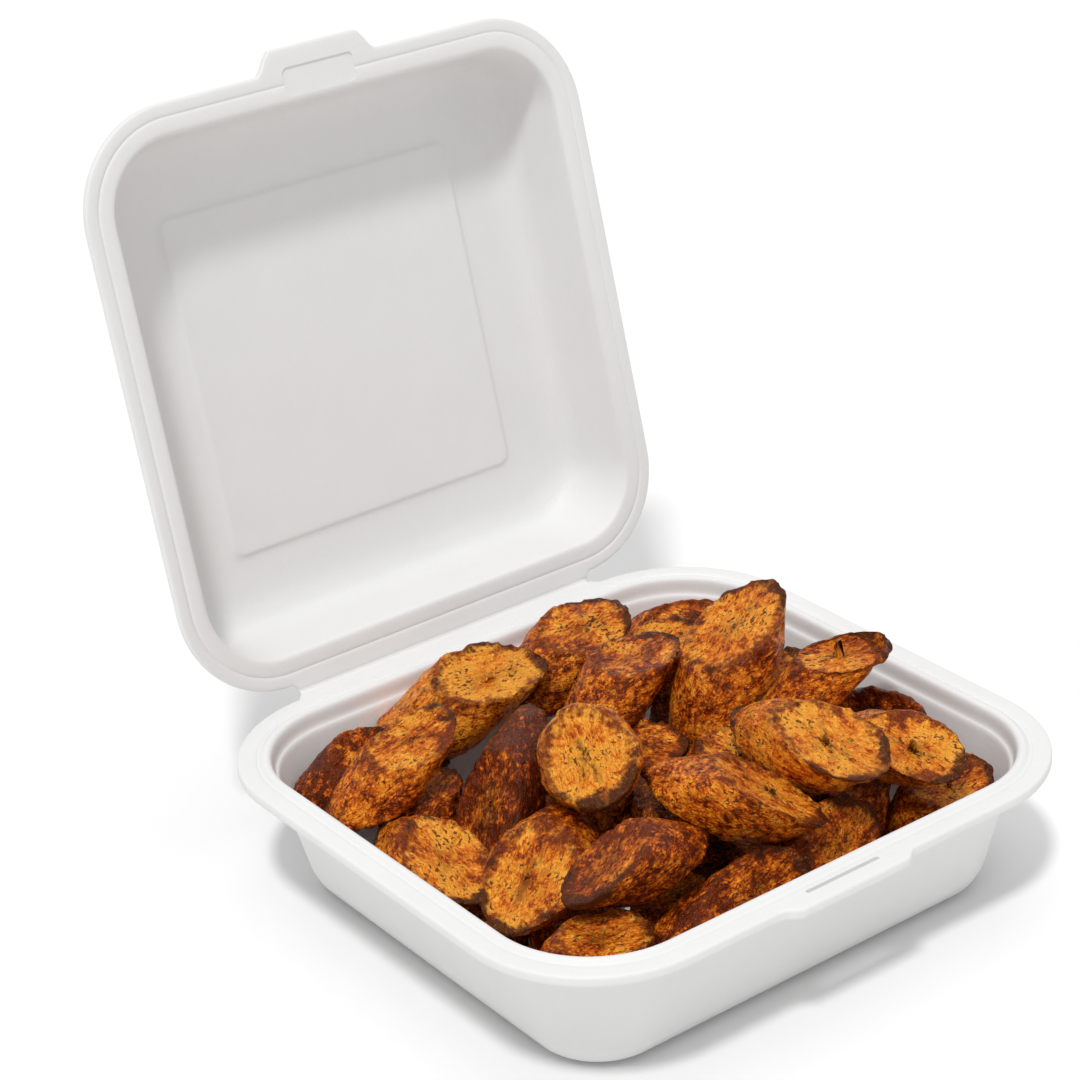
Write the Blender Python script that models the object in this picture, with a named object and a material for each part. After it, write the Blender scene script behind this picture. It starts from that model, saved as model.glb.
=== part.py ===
"""Fried plantain side: bias-cut pieces of fried ripe plantain heaped in an open, white,
hinged-lid takeaway box.

Frame: metres, Z up, origin at the centre of the box's underside. X runs along the hinge,
-Y is the latch side and +Y the hinge side. The lid stands open, leaning back past upright.
"""
from math import cos, pi, radians, sin

import bmesh
import bpy
import numpy as np
from mathutils import Matrix

MM = 0.001

# ---- driving sizes of the box, in millimetres
TRAY_WIDTH = 203.0            # along X, over the rim
TRAY_LENGTH = 190.0           # along Y, over the rim
TRAY_HEIGHT = 45.0            # underside to the top of the rim's flange
TRAY_CORNER = 42.0            # corner radius of the rim
SKIN = 1.2                    # thickness of the moulded wall
LIP = 3.2                     # drop of the rim's turned-down lip

LID_WIDTH = 183.6             # along X, over the rim
LID_LENGTH = 184.8            # across the hinge, over the rim
LID_DEPTH = 30.2              # rim to the outside of the lid's top
LID_CORNER = 33.0             # corner radius of the lid's rim
LID_OPEN = 104.0              # degrees from shut to the shown pose

HINGE_REACH = 2.55            # how far the tray's flange runs out to the crease
HINGE_HALF = 57.5             # half the width of the hinge
LID_BACK = 2.2                # crease to the lid's own rim
LID_LIFT = 0.5                # the lid's rim plane stands off the crease by this much
CREASE_GAP = 0.15             # each flange stops this far short of the crease

LATCH_X = -3.0                # the latch sits a little left of the middle
LATCH_HALF = 24.5             # half the width of the widened latch part of the tray's flange
LATCH_REACH = 3.2             # how far it stands out
LATCH_RUN = 5.0               # length of its sloping ends
SLOT_SIZE = (27.0, 1.4)       # slot in the flange that takes the tab
TAB_HALF = 22.0               # half the width of the lid's tab at its root
TAB_TIP_HALF = 15.5           # and at its tip
TAB_REACH = 7.0               # how far it stands out of the lid's rim
POCKET_SIZE = (26.0, 9.0)     # shallow pocket pressed into the tab
POCKET_DEPTH = 0.5

ARC_STEPS = 5                 # facets in a quarter turn of a rim
AXIS_Y = TRAY_LENGTH / 2 + HINGE_REACH + CREASE_GAP
AXIS_Z = TRAY_HEIGHT + LID_LIFT

# ---- plantain
CLEARANCE = 0.35              # gap left between neighbouring pieces, in millimetres
FACE_SINK = 0.09              # how deep a cut face sinks, as a share of the thickness
PUSH = 0.35                   # share of each overlap that one round of easing takes out
ROUNDS = 900                  # rounds of easing the pieces apart
SETTLE_ROUNDS = 500           # rounds in which they also sink
SINK_STEP = 0.10              # how far they sink in each of those, in millimetres
HOLD = 0.03                   # how strongly each piece is held to its sight line
SEEN_FROM = (-36.3, 25.9)     # azimuth from -Y and height, in degrees, of those sight lines
HEAP_TOP = 71.8               # the heap stays below the shut lid
LOOK_DIRECTIONS = 500         # directions in which neighbours are compared

# A fried chunk is flatter than its fresh slice, and its steep bias draws its ends to points.
FLATNESS = 0.90               # fried thickness, as a share of the slice's
SLANT = 1.55                  # how much further its cut faces slide along each other
MOST_SLANT = 0.36             # at most this share of its length
STRETCH = 0.45                # share of the added slide that lengthens it

# Each piece: where its middle lies (x, y, z), heading, pitch (far end up) and roll in degrees,
# length, width and thickness in millimetres, and bias, the slide of one cut face along the
# other. The pieces keep their tilt and are eased apart from these places until none touch.
FLOOR_LAYER = (
    (-54, -34, 13, 70, 0, 0, 38, 26, 19, -5),
    (-22, -42, 13, 8, 0, 0, 38, 26, 19, 5),
    (18, -42, 13, -12, 0, 0, 38, 26, 19, 5),
    (54, -34, 13, 75, 0, 0, 38, 26, 19, 5),
    (-54, 4, 13, 98, 0, 0, 38, 26, 19, 5),
    (-18, -4, 13, -15, 0, 0, 38, 26, 19, 5),
    (22, -4, 13, 15, 0, 0, 38, 26, 19, 4),
    (56, 4, 13, 85, 0, 0, 38, 26, 19, 5),
    (-52, 42, 13, 40, 0, 0, 38, 26, 19, 5),
    (-18, 36, 13, 12, 0, 0, 38, 26, 19, 5),
    (20, 38, 13, -8, 0, 0, 38, 26, 19, 5),
    (54, 42, 13, 60, 0, 0, 38, 26, 19, -5),
)
EDGE_LAYER = (
    (-42, -24, 18, 10, 0, 0, 32, 20, 12, -5),       # low, hidden
    (69, 58, 42, -35, -5, 30, 50, 27, 19, 9),       # back right, its tip showing
    (50, 54, 40, -5, 0, 10, 38, 24, 17, 5),         # back, small tip behind the others
    (-50, 62, 28, -25, 0, 5, 32, 20, 13, 5),        # in the dark under the back left piece
    (-72, 59, 36, 15, 8, 35, 40, 26, 14, 8),        # left corner
    (-66, 40, 41, 5, 10, 8, 52, 24, 14, 11),         # beside it, leaning on the wall
    (-80, -2, 38, -90, -19, 2, 48, 29, 15, 7),       # left side, oval face up
    (-74, -24, 24, 80, 0, 0, 32, 20, 13, 4),        # low between two faces
    (-60, -52, 28, -30, 5, 10, 38, 24, 15, 5),      # front corner, low
    (-29, -73, 34, 9, 5, 42, 62, 25, 16, 13),        # along the front wall
    (10, -68, 35, 20, 16, 45, 48, 28, 19, 9),       # behind the latch
    (36, -57, 28, 30, 0, 0, 34, 22, 14, 5),         # low, front right
    (57, -67, 34, -15, 8, 10, 44, 29, 25, 13),      # front right corner
    (76, -32, 44, -80, -6, 32, 50, 29, 16, 7),      # right side, hollow face
    (58, -40, 43, -86, -10, 16, 56, 26, 18, 12),     # beside it
    (71, 10, 41, 10, 0, 10, 40, 25, 18, 6),         # right, low
    (66, -4, 46, -20, 4, 0, 50, 27, 19, 11),         # right, behind the big one
    (19, 64, 46, 3, 2, 12, 54, 28, 20, 12),          # back, lying along the wall
    (-25, 63, 46, -5, 0, 15, 62, 29, 20, 14),       # back left, face up
)
HEAP_LAYER = (
    (-57, 27, 26, 30, 0, 0, 32, 20, 13, 5),         # dark, behind the standing one
    (-35, 2, 34, 15, 0, 5, 36, 23, 15, 6),
    (-28, -14, 36, 10, 0, 5, 34, 22, 15, 6),
    (22, -19, 42, -60, 0, 10, 38, 25, 16, 5),
    (-14, -25, 40, 50, 5, 0, 36, 24, 16, 5),
    (-5, -3, 45, -50, 0, 10, 36, 24, 16, 6),
    (-62, -30, 40, -150, -21, -8, 58, 31, 17, 10),   # front left, broad face
    (-38, -44, 44, -158, -12, 24, 54, 29, 19, 12),   # front, skin side out
    (-50, 10, 46, -130, -36, 38, 58, 28, 17, 12),     # standing on its edge
    (22, 29, 49, 12, 0, 2, 52, 25, 15, 10),         # middle back
    (36, -36, 49, -88, -13, 4, 62, 31, 20, 12),     # right of the middle, oval face up
    (41, 7, 55, 15, 22, -2, 62, 31, 20, 12),        # the big one, leaning up and back
    (-2, -48, 49, -84, -12, -22, 62, 29, 20, 13),   # front middle
    (-22, 0, 52, -113, -20, 15, 52, 31, 19, 8),     # crown of the heap
)
SUNKEN = {25}                 # pieces, counted from 0, whose cut face has fallen in deeply


# ---------------------------------------------------------------- shared helpers
def clear_scene():
    """Start from an empty file."""
    for old in list(bpy.data.objects):
        bpy.data.objects.remove(old, do_unlink=True)
    for old in list(bpy.data.meshes):
        bpy.data.meshes.remove(old)


def make_material(name, colour, roughness):
    """A plain Principled material."""
    material = bpy.data.materials.new(name)
    material.use_nodes = True
    shader = material.node_tree.nodes["Principled BSDF"]
    shader.inputs["Base Color"].default_value = (*colour, 1.0)
    shader.inputs["Roughness"].default_value = roughness
    material.diffuse_color = (*colour, 1.0)
    return material


def make_object(name, points, faces, material, place=None, smooth=True):
    """An object from points in millimetres, faces and its place, its normals turned outwards."""
    mesh = bpy.data.meshes.new(name)
    mesh.from_pydata([tuple(float(c) * MM for c in p) for p in points], [], faces)
    shell = bmesh.new()
    shell.from_mesh(mesh)
    bmesh.ops.recalc_face_normals(shell, faces=shell.faces)
    shell.to_mesh(mesh)
    shell.free()
    mesh.materials.append(material)
    for polygon in mesh.polygons:
        polygon.use_smooth = smooth
    obj = bpy.data.objects.new(name, mesh)
    obj.matrix_world = place or Matrix.Identity(4)
    bpy.context.scene.collection.objects.link(obj)
    return obj


def bridge(rings, closed_ends=True):
    """Faces of a skin over rings of equal length, with a flat cap on the first and last."""
    count = len(rings[0])
    points = [p for ring in rings for p in ring]
    faces = []
    for level in range(len(rings) - 1):
        for i in range(count):
            j = (i + 1) % count
            a, b = level * count, (level + 1) * count
            faces.append((a + i, a + j, b + j, b + i))
    if closed_ends:
        last = (len(rings) - 1) * count
        faces.append(tuple(range(count))[::-1])
        faces.append(tuple(last + i for i in range(count)))
    return points, faces


# ---------------------------------------------------------------- the box
def rim_outline(half_x, half_y, radius, front, back):
    """A rounded rectangle as (x, y, side) points, anticlockwise from the front left.

    front and back are the x stations placed along those two straight sides.
    """
    corners = ((half_x - radius, -half_y + radius, -90), (half_x - radius, half_y - radius, 0),
               (-half_x + radius, half_y - radius, 90), (-half_x + radius, -half_y + radius, 180))
    straight = half_x - radius - 0.4
    outline = [(x, -half_y, "front") for x in fitted(front, straight)]
    for number, (cx, cy, start) in enumerate(corners):
        for step in range(ARC_STEPS + 1):
            angle = radians(start + 90 * step / ARC_STEPS)
            outline.append((cx + radius * cos(angle), cy + radius * sin(angle), "arc"))
        if number == 1:
            outline += [(x, half_y, "back") for x in reversed(fitted(back, straight))]
    return outline


def fitted(stations, straight):
    """Stations drawn together where they would run past the straight part of a side."""
    furthest = max(abs(x) for x in stations)
    scale = min(1.0, straight / furthest)
    return [x * scale for x in stations]


def push_out(outline, front_reach, back_reach):
    """Move the marked stations of a rim outwards, for the latch, tab and hinge."""
    moved = []
    for x, y, side in outline:
        if side == "front":
            y -= front_reach(x)
        elif side == "back":
            y += back_reach(x)
        moved.append((x, y))
    return moved


def trapezium(centre, outer, inner, reach):
    """How far out an edge stands at x: full reach inside, sloping to nothing at outer."""
    def at(x):
        distance = abs(x - centre)
        if distance <= inner + 1e-6:
            return reach
        return reach * max(0.0, (outer - distance) / (outer - inner))
    return at


def moulded_shell(width, length, corner, section, front, back, front_reach, back_reach):
    """Rings of a moulded shell: each row of section is (inset, height, rim row or not)."""
    rings = []
    for inset, height, on_rim in section:
        outline = rim_outline(width / 2 - inset, length / 2 - inset, max(corner - inset, 4.0), front, back)
        reach = (front_reach, back_reach) if on_rim else (lambda x: 0.0, lambda x: 0.0)
        rings.append([(x, y, height) for x, y in push_out(outline, *reach)])
    return rings


def cutter_box(name, centre, size, place=None):
    """A hidden box that cuts a slot or pocket."""
    rings = [[(centre[0] + sx * size[0] / 2, centre[1] + sy * size[1] / 2, centre[2] + sz * size[2] / 2)
              for sx, sy in ((-1, -1), (1, -1), (1, 1), (-1, 1))] for sz in (-1, 1)]
    plain = make_material(name, (0.5, 0.5, 0.5), 0.5)
    obj = make_object(name, *bridge(rings), plain, place, smooth=False)
    obj.hide_render = True
    obj.display_type = "WIRE"
    return obj


def cut(obj, cutter):
    """Take the cutter's shape out of an object and keep the result as its mesh."""
    modifier = obj.modifiers.new("cut", "BOOLEAN")
    modifier.operation = "DIFFERENCE"
    modifier.solver = "EXACT"
    modifier.object = cutter
    graph = bpy.context.evaluated_depsgraph_get()
    mesh = bpy.data.meshes.new_from_object(obj.evaluated_get(graph))
    obj.modifiers.clear()
    obj.data = mesh
    bpy.data.objects.remove(cutter, do_unlink=True)


def build_tray(material):
    """The tray: floor, drafted walls with a nesting shoulder, beaded rim with a turned-down lip.

    Returns the rings of its cavity, from the floor to the shoulder.
    """
    top = TRAY_HEIGHT
    section = (
        # inside, from the floor up
        (29.0, SKIN, False), (23.6, 2.8, False), (20.8, 7.0, False),
        (12.4, top - 5.2, False), (11.2, top - 4.4, False), (10.5, top - 0.7, False),
        # bead, groove and flange
        (9.7, top + 0.4, False), (8.2, top + 0.7, False), (6.8, top - 0.3, False),
        (6.1, top - 0.6, False), (5.6, top, False), (0.6, top, True), (0.0, top - 0.6, True),
        # lip and underside, down to the base
        (0.0, top - LIP, True), (1.1, top - LIP, True), (1.1, top - SKIN - 0.4, True),
        (9.2, top - SKIN - 0.6, False), (9.9, top - 5.2, False), (11.1, top - 6.0, False),
        (19.4, 6.6, False), (22.0, 2.0, False), (27.0, 0.0, False),
    )
    front = [LATCH_X - LATCH_HALF, LATCH_X - LATCH_HALF + LATCH_RUN,
             LATCH_X + LATCH_HALF - LATCH_RUN, LATCH_X + LATCH_HALF]
    back = [-HINGE_HALF - 1.5, -HINGE_HALF, HINGE_HALF, HINGE_HALF + 1.5]
    rings = moulded_shell(
        TRAY_WIDTH, TRAY_LENGTH, TRAY_CORNER, section, front, back,
        trapezium(LATCH_X, LATCH_HALF, LATCH_HALF - LATCH_RUN, LATCH_REACH),
        trapezium(0.0, HINGE_HALF + 1.5, HINGE_HALF, HINGE_REACH))
    tray = make_object("tray", *bridge(rings), material)
    slot_y = -TRAY_LENGTH / 2 + 2.9
    cut(tray, cutter_box("slot_cutter", (LATCH_X, slot_y, top), (*SLOT_SIZE, 6.0)))
    return rings[:4]


def lid_pose(open_degrees):
    """Where the lid's frame stands: on the crease, leaning as far as the lid is open."""
    lean = Matrix.Rotation(radians(180.0 - open_degrees), 4, "X")
    return Matrix.Translation((0.0, AXIS_Y * MM, AXIS_Z * MM)) @ lean


def build_lid(material):
    """The lid: a shallower shell with a grooved rim, a raised top panel and the latch tab.

    Returns the rings of its hollow as it lies when shut, from its rim up to its top.
    """
    base, deep = LID_LIFT, LID_DEPTH
    section = (
        # inside, from the middle panel out to the rim
        (38.0, deep - SKIN - 1.1, False), (36.6, deep - SKIN, False), (22.0, deep - SKIN - 0.2, False),
        (15.6, deep - 3.4, False), (13.0, deep - 8.5, False), (10.2, base + 1.3, False),
        (9.2, base, False), (4.9, base, False), (4.3, base + 0.5, False), (3.7, base, False),
        (0.6, base, True), (0.0, base + 0.6, True),
        # lip and outside, back to the middle panel
        (0.0, base + 2.4, True), (1.1, base + 2.4, True), (1.1, base + SKIN, True),
        (8.8, base + SKIN, False), (11.8, deep - 7.8, False), (14.6, deep - 2.4, False),
        (21.6, deep, False), (35.4, deep, False), (36.8, deep - 1.0, False),
    )
    half = LID_LENGTH / 2
    middle = LID_BACK + half
    # The lid is drawn lying open and flat, with its rim up and its latch side at its own +Y.
    latch = [LATCH_X - TAB_HALF, LATCH_X - TAB_TIP_HALF, LATCH_X + TAB_TIP_HALF, LATCH_X + TAB_HALF]
    hinge = [-HINGE_HALF - 1.2, -HINGE_HALF, HINGE_HALF, HINGE_HALF + 1.2]
    rings = moulded_shell(
        LID_WIDTH, LID_LENGTH, LID_CORNER, section, hinge, latch,
        trapezium(0.0, HINGE_HALF + 1.2, HINGE_HALF, LID_BACK - CREASE_GAP),
        trapezium(LATCH_X, TAB_HALF, TAB_TIP_HALF, TAB_REACH))
    rings = [[(x, y + middle, -depth) for x, y, depth in ring] for ring in rings]
    place = lid_pose(LID_OPEN)
    lid = make_object("lid", *bridge(rings), material, place)
    pocket_at = (LATCH_X, LID_BACK + LID_LENGTH - 3.6, -LID_LIFT)
    cut(lid, cutter_box("pocket_cutter", pocket_at, (*POCKET_SIZE, 2 * POCKET_DEPTH), place))
    return [[(x, AXIS_Y - y, AXIS_Z - z) for x, y, z in ring] for ring in rings[5:1:-1]]


# ---------------------------------------------------------------- the plantain
def oval(length, width, taper, bend, around, scale=1.0):
    """The outline of a cut face: an oval with pointed ends, one end narrower, a little bent."""
    ring = []
    for step in range(around):
        angle = 2 * pi * step / around
        u, v = cos(angle), sin(angle)
        x = scale * length / 2 * u
        y = scale * width / 2 * v * (1 - taper * u) * (1 - 0.12 * u * u) + bend * (1 - u * u)
        ring.append((x, y))
    return ring


def plantain_shape(row, index, detailed, sunken):
    """A bias-cut chunk about its own middle: two oval cut faces and a bulging band of skin."""
    length, width, thick, bias = row[6:10]
    around = 12 if detailed else 10
    taper = 0.10 * sin(2.4 * index)
    bend = 1.5 * sin(1.7 * index + 1.0)
    wedge = 0.16 * sin(3.1 * index + 0.5)
    sink = thick * FACE_SINK * (3.0 if sunken else 1.0)
    # (height over the middle, scale of the outline), down one face, the side and the other face
    levels = [(thick / 2, 0.86), (thick * 0.41, 0.965), (thick * 0.03, 1.0),
              (-thick * 0.41, 0.965), (-thick / 2, 0.86)]
    if detailed:
        levels = [(thick / 2 - sink, 0.50), *levels, (-thick / 2 + sink, 0.50)]
    span = (length - abs(bias)) / length
    points, faces = [], []
    for height, scale in levels:
        slide = bias * height / thick
        for x, y in oval(length * span, width, taper, bend, around, scale):
            points.append((x + slide, y, height * (1 + wedge * 2 * x / length)))
    for level in range(len(levels) - 1):
        for i in range(around):
            j = (i + 1) % around
            a, b = level * around, (level + 1) * around
            faces.append((a + i, a + j, b + j, b + i))
    dip = sink * 1.15 if detailed else 0.0
    for end, start in ((1, 0), (-1, (len(levels) - 1) * around)):
        points.append((end * bias / 2, bend * 0.6, end * (thick / 2 - dip)))
        hub = len(points) - 1
        faces += [(start + i, start + (i + 1) % around, hub) for i in range(around)]
    return points, faces


def fried(row):
    """A slice's row with the sizes it has once fried."""
    length, width, thick, bias = row[6:10]
    slide = max(-MOST_SLANT * length, min(MOST_SLANT * length, bias * SLANT))
    return (*row[:6], length + STRETCH * (abs(slide) - abs(bias)), width, thick * FLATNESS, slide)


def tilt(row):
    """A piece's heading, pitch and roll as a rotation."""
    heading, pitch, roll = (radians(angle) for angle in row[3:6])
    return (Matrix.Rotation(heading, 3, "Z") @ Matrix.Rotation(-pitch, 3, "Y")
            @ Matrix.Rotation(roll, 3, "X"))


def even_directions(count):
    """Unit vectors spread evenly over a sphere, the second half opposite to the first."""
    step = np.arange(count // 2) + 0.5
    height = 1 - step / (count // 2)
    turn = pi * (1 + 5 ** 0.5) * step
    flat = np.sqrt(1 - height ** 2)
    half = np.stack([flat * np.cos(turn), flat * np.sin(turn), height], axis=1)
    return np.concatenate([half, -half])


def cavity_planes(tray_rings, lid_rings):
    """Outward planes (normal, offset) of the room for the heap: tray, shut lid, floor and top."""
    normals, offsets = [np.array((0.0, 0.0, -1.0)), np.array((0.0, 0.0, 1.0))], [-SKIN, HEAP_TOP]
    middle = np.array((0.0, 0.0, TRAY_HEIGHT))
    for rings in (tray_rings, lid_rings):
        for lower, upper in zip(rings, rings[1:]):
            for i in range(len(lower)):
                j = (i + 1) % len(lower)
                corner = np.array(lower[i])
                normal = np.cross(np.array(lower[j]) - corner, np.array(upper[i]) - corner)
                normal /= np.linalg.norm(normal)
                normal *= 1 if (corner - middle) @ normal > 0 else -1
                normals.append(normal)
                offsets.append(normal @ corner)
    return np.array(normals), np.array(offsets)


def eased_places(rows, clouds, planes):
    """Middles of the pieces after easing them apart and down, with their tilts kept."""
    normals, offsets = planes
    looks = even_directions(LOOK_DIRECTIONS)
    reach = np.array([(cloud @ looks.T).max(axis=0) for cloud in clouds])
    wall_reach = np.array([(cloud @ normals.T).max(axis=0) for cloud in clouds])
    behind = np.roll(reach, -(len(looks) // 2), axis=1)
    first, second = np.triu_indices(len(rows), 1)
    named = np.array([row[:3] for row in rows], dtype=float)
    middles = named.copy()
    azimuth, height = (radians(angle) for angle in SEEN_FROM)
    sight = np.array((sin(azimuth) * cos(height), -cos(azimuth) * cos(height), sin(height)))
    for turn in range(ROUNDS):
        settling = turn < SETTLE_ROUNDS
        if settling:
            middles[:, 2] -= SINK_STEP
            astray = named - middles
            middles += HOLD * (astray - np.outer(astray @ sight, sight))
        apart = middles[second] - middles[first]
        overlap = reach[first] + behind[second] - apart @ looks.T
        nearest = overlap.argmin(axis=1)
        depth = overlap[np.arange(len(first)), nearest] + CLEARANCE
        touching = depth > 0
        push = PUSH * (depth[:, None] * looks[nearest])[touching]
        np.add.at(middles, first[touching], -push)
        np.add.at(middles, second[touching], push)
        past = np.maximum(wall_reach + middles @ normals.T - offsets + CLEARANCE, 0)
        worst = past.argmax(axis=1)
        middles -= past[np.arange(len(rows)), worst][:, None] * normals[worst]
        if not settling and not touching.any() and past.max() < 0.02:
            break
    return middles


def build_heap(planes, material):
    """Ease the pieces apart inside the tray and make each its own solid."""
    rows = FLOOR_LAYER + tuple(fried(row) for row in EDGE_LAYER + HEAP_LAYER)
    shapes = [plantain_shape(row, index, index >= len(FLOOR_LAYER), index in SUNKEN)
              for index, row in enumerate(rows)]
    clouds = [np.array(points) @ np.array(tilt(row)).T for (points, _), row in zip(shapes, rows)]
    middles = eased_places(rows, clouds, planes)
    for index, (row, (points, faces), middle) in enumerate(zip(rows, shapes, middles)):
        place = Matrix.Translation([float(c) * MM for c in middle]) @ tilt(row).to_4x4()
        make_object(f"plantain_{index + 1:02d}", points, faces, material, place)


def main():
    clear_scene()
    white = make_material("box_white", (0.86, 0.86, 0.85), 0.6)
    lid_white = make_material("lid_white", (0.86, 0.86, 0.85), 0.6)
    fried = make_material("fried_plantain", (0.62, 0.26, 0.06), 0.4)
    tray_rings = build_tray(white)
    lid_rings = build_lid(lid_white)
    build_heap(cavity_planes(tray_rings, lid_rings), fried)


main()
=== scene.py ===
"""Looks of the fried plantain side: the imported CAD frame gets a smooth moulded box, a soft
hinge web and browned, crusted plantain chunks, all made here from named sizes."""
from math import cos, pi, radians, sin

import bmesh
import bpy
import numpy as np
from mathutils import Matrix, Vector


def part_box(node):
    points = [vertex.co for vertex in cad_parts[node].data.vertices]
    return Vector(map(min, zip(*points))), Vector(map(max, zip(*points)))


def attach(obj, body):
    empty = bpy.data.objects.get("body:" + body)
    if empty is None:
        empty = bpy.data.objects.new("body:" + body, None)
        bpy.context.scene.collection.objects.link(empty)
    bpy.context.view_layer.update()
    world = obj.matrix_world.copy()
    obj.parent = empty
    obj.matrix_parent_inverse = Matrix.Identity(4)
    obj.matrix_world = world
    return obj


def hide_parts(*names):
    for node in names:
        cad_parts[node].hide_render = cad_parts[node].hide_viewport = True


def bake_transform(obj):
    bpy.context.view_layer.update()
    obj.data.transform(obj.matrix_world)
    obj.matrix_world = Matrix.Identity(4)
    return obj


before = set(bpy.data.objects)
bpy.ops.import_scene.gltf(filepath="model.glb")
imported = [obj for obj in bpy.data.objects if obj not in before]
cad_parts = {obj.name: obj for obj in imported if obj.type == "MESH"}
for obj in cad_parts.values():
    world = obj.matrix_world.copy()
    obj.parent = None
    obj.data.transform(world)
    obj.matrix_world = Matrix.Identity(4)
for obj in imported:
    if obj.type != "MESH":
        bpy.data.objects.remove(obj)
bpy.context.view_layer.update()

MM = 0.001

# ---- the box's sizes in millimetres, as in the CAD
TRAY_WIDTH, TRAY_LENGTH, TRAY_HEIGHT, TRAY_CORNER = 203.0, 190.0, 45.0, 42.0
SKIN, LIP = 1.2, 3.2
LID_WIDTH, LID_LENGTH, LID_DEPTH, LID_CORNER, LID_OPEN = 183.6, 184.8, 30.2, 33.0, 104.0
HINGE_REACH, HINGE_HALF, LID_BACK, LID_LIFT, CREASE_GAP = 2.55, 57.5, 2.2, 0.5, 0.15
LATCH_X, LATCH_HALF, LATCH_REACH, LATCH_RUN = -3.0, 24.5, 3.2, 5.0
SLOT_SIZE = (27.0, 1.4)
TAB_HALF, TAB_TIP_HALF, TAB_REACH = 22.0, 15.5, 7.0
POCKET_SIZE, POCKET_DEPTH = (26.0, 9.0), 0.5
AXIS_Y = TRAY_LENGTH / 2 + HINGE_REACH + CREASE_GAP
AXIS_Z = TRAY_HEIGHT + LID_LIFT
FRONT_STATIONS, SIDE_STATIONS, ARC_STEPS = 64, 24, 18

# ---- the chunks, as in the CAD: start place, heading, pitch, roll, length, width, thick, bias
FACE_SINK = 0.09
FLOOR_LAYER = (
    (-54, -34, 13, 70, 0, 0, 38, 26, 19, -5),
    (-22, -42, 13, 8, 0, 0, 38, 26, 19, 5),
    (18, -42, 13, -12, 0, 0, 38, 26, 19, 5),
    (54, -34, 13, 75, 0, 0, 38, 26, 19, 5),
    (-54, 4, 13, 98, 0, 0, 38, 26, 19, 5),
    (-18, -4, 13, -15, 0, 0, 38, 26, 19, 5),
    (22, -4, 13, 15, 0, 0, 38, 26, 19, 4),
    (56, 4, 13, 85, 0, 0, 38, 26, 19, 5),
    (-52, 42, 13, 40, 0, 0, 38, 26, 19, 5),
    (-18, 36, 13, 12, 0, 0, 38, 26, 19, 5),
    (20, 38, 13, -8, 0, 0, 38, 26, 19, 5),
    (54, 42, 13, 60, 0, 0, 38, 26, 19, -5),
)
EDGE_LAYER = (
    (-42, -24, 18, 10, 0, 0, 32, 20, 12, -5),       # low, hidden
    (69, 58, 42, -35, -5, 30, 50, 27, 19, 9),       # back right, its tip showing
    (50, 54, 40, -5, 0, 10, 38, 24, 17, 5),         # back, small tip behind the others
    (-50, 62, 28, -25, 0, 5, 32, 20, 13, 5),        # in the dark under the back left piece
    (-72, 59, 36, 15, 8, 35, 40, 26, 14, 8),        # left corner
    (-66, 40, 41, 5, 10, 8, 52, 24, 14, 11),         # beside it, leaning on the wall
    (-80, -2, 38, -90, -19, 2, 48, 29, 15, 7),       # left side, oval face up
    (-74, -24, 24, 80, 0, 0, 32, 20, 13, 4),        # low between two faces
    (-60, -52, 28, -30, 5, 10, 38, 24, 15, 5),      # front corner, low
    (-29, -73, 34, 9, 5, 42, 62, 25, 16, 13),        # along the front wall
    (10, -68, 35, 20, 16, 45, 48, 28, 19, 9),       # behind the latch
    (36, -57, 28, 30, 0, 0, 34, 22, 14, 5),         # low, front right
    (57, -67, 34, -15, 8, 10, 44, 29, 25, 13),      # front right corner
    (76, -32, 44, -80, -6, 32, 50, 29, 16, 7),      # right side, hollow face
    (58, -40, 43, -86, -10, 16, 56, 26, 18, 12),     # beside it
    (71, 10, 41, 10, 0, 10, 40, 25, 18, 6),         # right, low
    (66, -4, 46, -20, 4, 0, 50, 27, 19, 11),         # right, behind the big one
    (19, 64, 46, 3, 2, 12, 54, 28, 20, 12),          # back, lying along the wall
    (-25, 63, 46, -5, 0, 15, 62, 29, 20, 14),       # back left, face up
)
HEAP_LAYER = (
    (-57, 27, 26, 30, 0, 0, 32, 20, 13, 5),         # dark, behind the standing one
    (-35, 2, 34, 15, 0, 5, 36, 23, 15, 6),
    (-28, -14, 36, 10, 0, 5, 34, 22, 15, 6),
    (22, -19, 42, -60, 0, 10, 38, 25, 16, 5),
    (-14, -25, 40, 50, 5, 0, 36, 24, 16, 5),
    (-5, -3, 45, -50, 0, 10, 36, 24, 16, 6),
    (-62, -30, 40, -150, -21, -8, 58, 31, 17, 10),   # front left, broad face
    (-38, -44, 44, -158, -12, 24, 54, 29, 19, 12),   # front, skin side out
    (-50, 10, 46, -130, -36, 38, 58, 28, 17, 12),     # standing on its edge
    (22, 29, 49, 12, 0, 2, 52, 25, 15, 10),         # middle back
    (36, -36, 49, -88, -13, 4, 62, 31, 20, 12),     # right of the middle, oval face up
    (41, 7, 55, 15, 22, -2, 62, 31, 20, 12),        # the big one, leaning up and back
    (-2, -48, 49, -84, -12, -22, 62, 29, 20, 13),   # front middle
    (-22, 0, 52, -113, -20, 15, 52, 31, 19, 8),     # crown of the heap
)
SUNKEN = {25}                 # pieces, counted from 0, whose cut face has fallen in deeply

# ---- the chunks, as in the CAD
FACE_SINK = 0.09
FLATNESS, SLANT, MOST_SLANT, STRETCH = 0.90, 1.55, 0.36, 0.45
LID_ROOM = {27: 1.0, 29: 2.2, 42: 0.9}

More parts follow.
